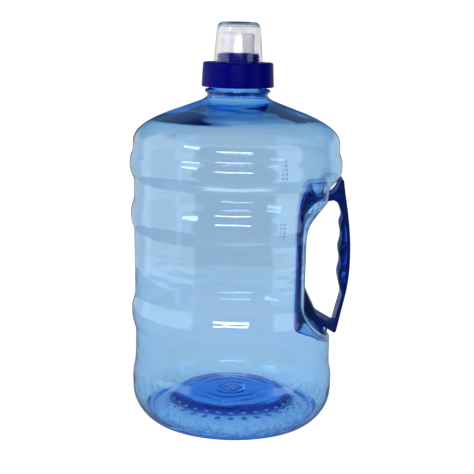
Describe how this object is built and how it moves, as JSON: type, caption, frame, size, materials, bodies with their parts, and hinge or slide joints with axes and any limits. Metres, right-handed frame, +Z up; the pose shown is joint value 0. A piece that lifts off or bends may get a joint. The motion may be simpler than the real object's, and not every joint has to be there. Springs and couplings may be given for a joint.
{
  "type": "large water jug",
  "caption": "Tall round ribbed clear-blue water jug with a side recess and press-in carry handle, threaded screw cap, push-pull spout and clear dust cover.",
  "frame": {"origin": "on the surface the jug stands on, under the middle of the whole object; the bottle's own axis is at x = -0.0033 m because the grip reaches past the barrel on +X", "axes": "+Z up along the bottle, +X towards the carry handle, +Y completes the right-handed frame"},
  "size_m": [0.1387, 0.1322, 0.2475],
  "materials": {
    "clear_blue_plastic": "gloss, see-through",
    "dark_blue_plastic": "gloss, barely see-through",
    "cap_blue_plastic": "satin",
    "liner_foam": "matt",
    "frosted_white_plastic": "frosted",
    "clear_plastic": "gloss, see-through"
  },
  "bodies": {
    "jug": {"bottle_body": "clear_blue_plastic", "carry_handle": "dark_blue_plastic"},
    "cap_carrier": {"cap_liner": "liner_foam"},
    "cap": {"screw_cap": "cap_blue_plastic"},
    "spout": {"pull_spout": "frosted_white_plastic"},
    "cover": {"dust_cover": "clear_plastic"}
  },
  "joints": [
    {"name": "cap_lift", "type": "slide", "parent": "jug", "child": "cap_carrier", "axis": [0, 0, 1], "range_m": [0, 0.027]},
    {"name": "cap_turn", "type": "hinge", "parent": "cap_carrier", "child": "cap", "pos_m": [-0.0033, 0, 0.2156], "axis": [0, 0, 1], "range_deg": [0, 1080]},
    {"name": "spout_pull", "type": "slide", "parent": "cap", "child": "spout", "axis": [0, 0, 1], "range_m": [0, 0.005]},
    {"name": "cover_lift", "type": "slide", "parent": "cap", "child": "cover", "axis": [0, 0, 1], "range_m": [0, 0.032]}
  ],
  "couplings": [
    {"joint": "cap_lift", "follows": "cap_turn", "m_per_rad": 0.0014324}
  ]
}
